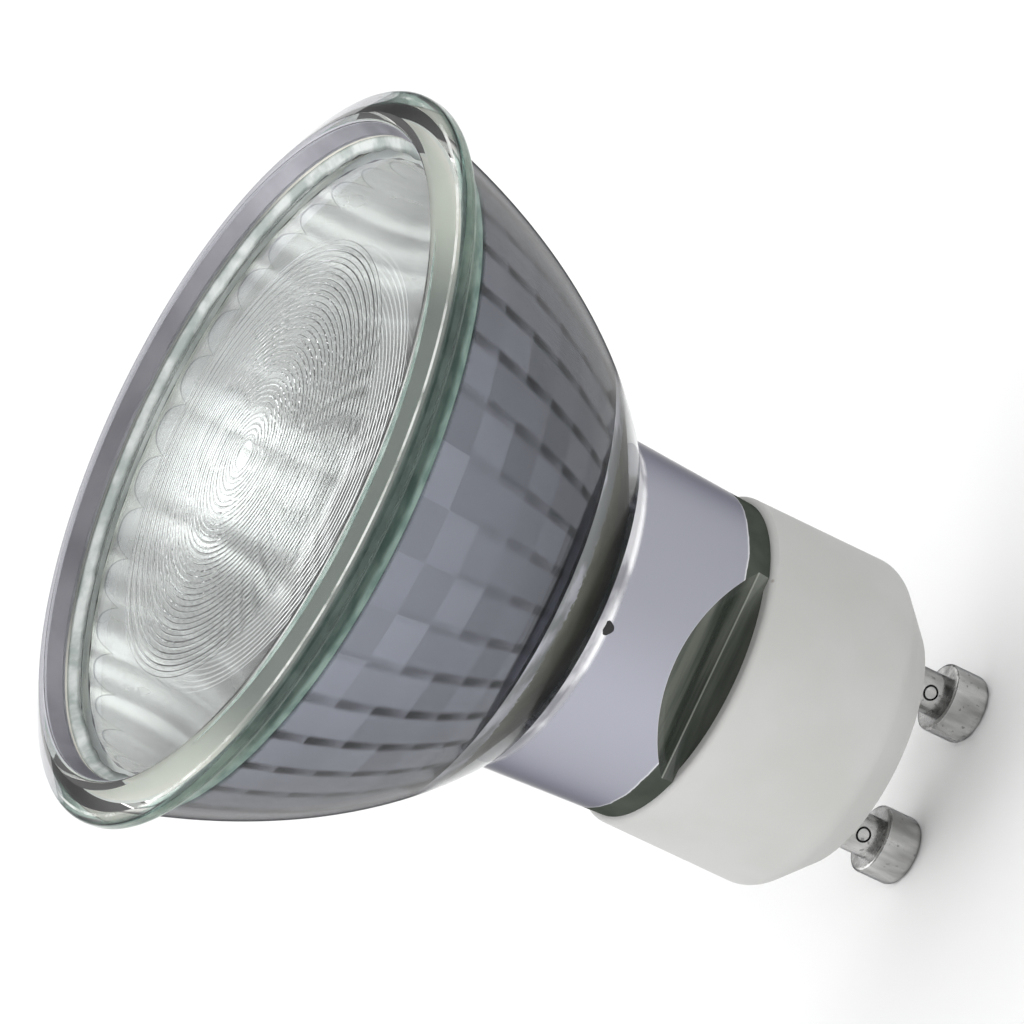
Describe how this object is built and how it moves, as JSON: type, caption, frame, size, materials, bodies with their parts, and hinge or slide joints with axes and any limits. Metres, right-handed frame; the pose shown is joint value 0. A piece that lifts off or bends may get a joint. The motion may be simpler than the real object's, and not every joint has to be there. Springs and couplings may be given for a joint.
{
  "type": "gu10 spotlight bulb",
  "caption": "Mains halogen spotlight bulb: faceted glass reflector with a ringed front lens, on a ceramic base with twist-and-lock pins.",
  "frame": {"origin": "on the lamp's axis, level with the pins' ends", "axes": "+Z along the axis out of the lens, the two pins along X, the flats of the glass neck facing along Y"},
  "size_m": [0.05, 0.05, 0.0533],
  "materials": {
    "reflector_glass": "clear pressed glass, mirror coated inside and on the neck",
    "lens_glass": "clear pressed glass",
    "adhesive": "satin",
    "ceramic": "matt white",
    "cement": "matt",
    "nickel": "dull nickel plate",
    "quartz": "clear",
    "tungsten": "dull",
    "molybdenum": "dull"
  },
  "bodies": {
    "root": {"reflector": "reflector_glass", "front_lens": "lens_glass", "lens_adhesive": "adhesive", "ceramic_base": "ceramic", "base_cement": "cement", "neck_cement": "cement", "contact_pin_left": "nickel", "contact_pin_right": "nickel", "connecting_wire_left": "nickel", "connecting_wire_right": "nickel", "capsule_envelope": "quartz", "filament": "tungsten", "filament_support": "molybdenum", "lead_in_left": "molybdenum", "lead_in_right": "molybdenum", "foil_left": "molybdenum", "foil_right": "molybdenum", "outer_lead_left": "molybdenum", "outer_lead_right": "molybdenum"}
  },
  "joints": []
}
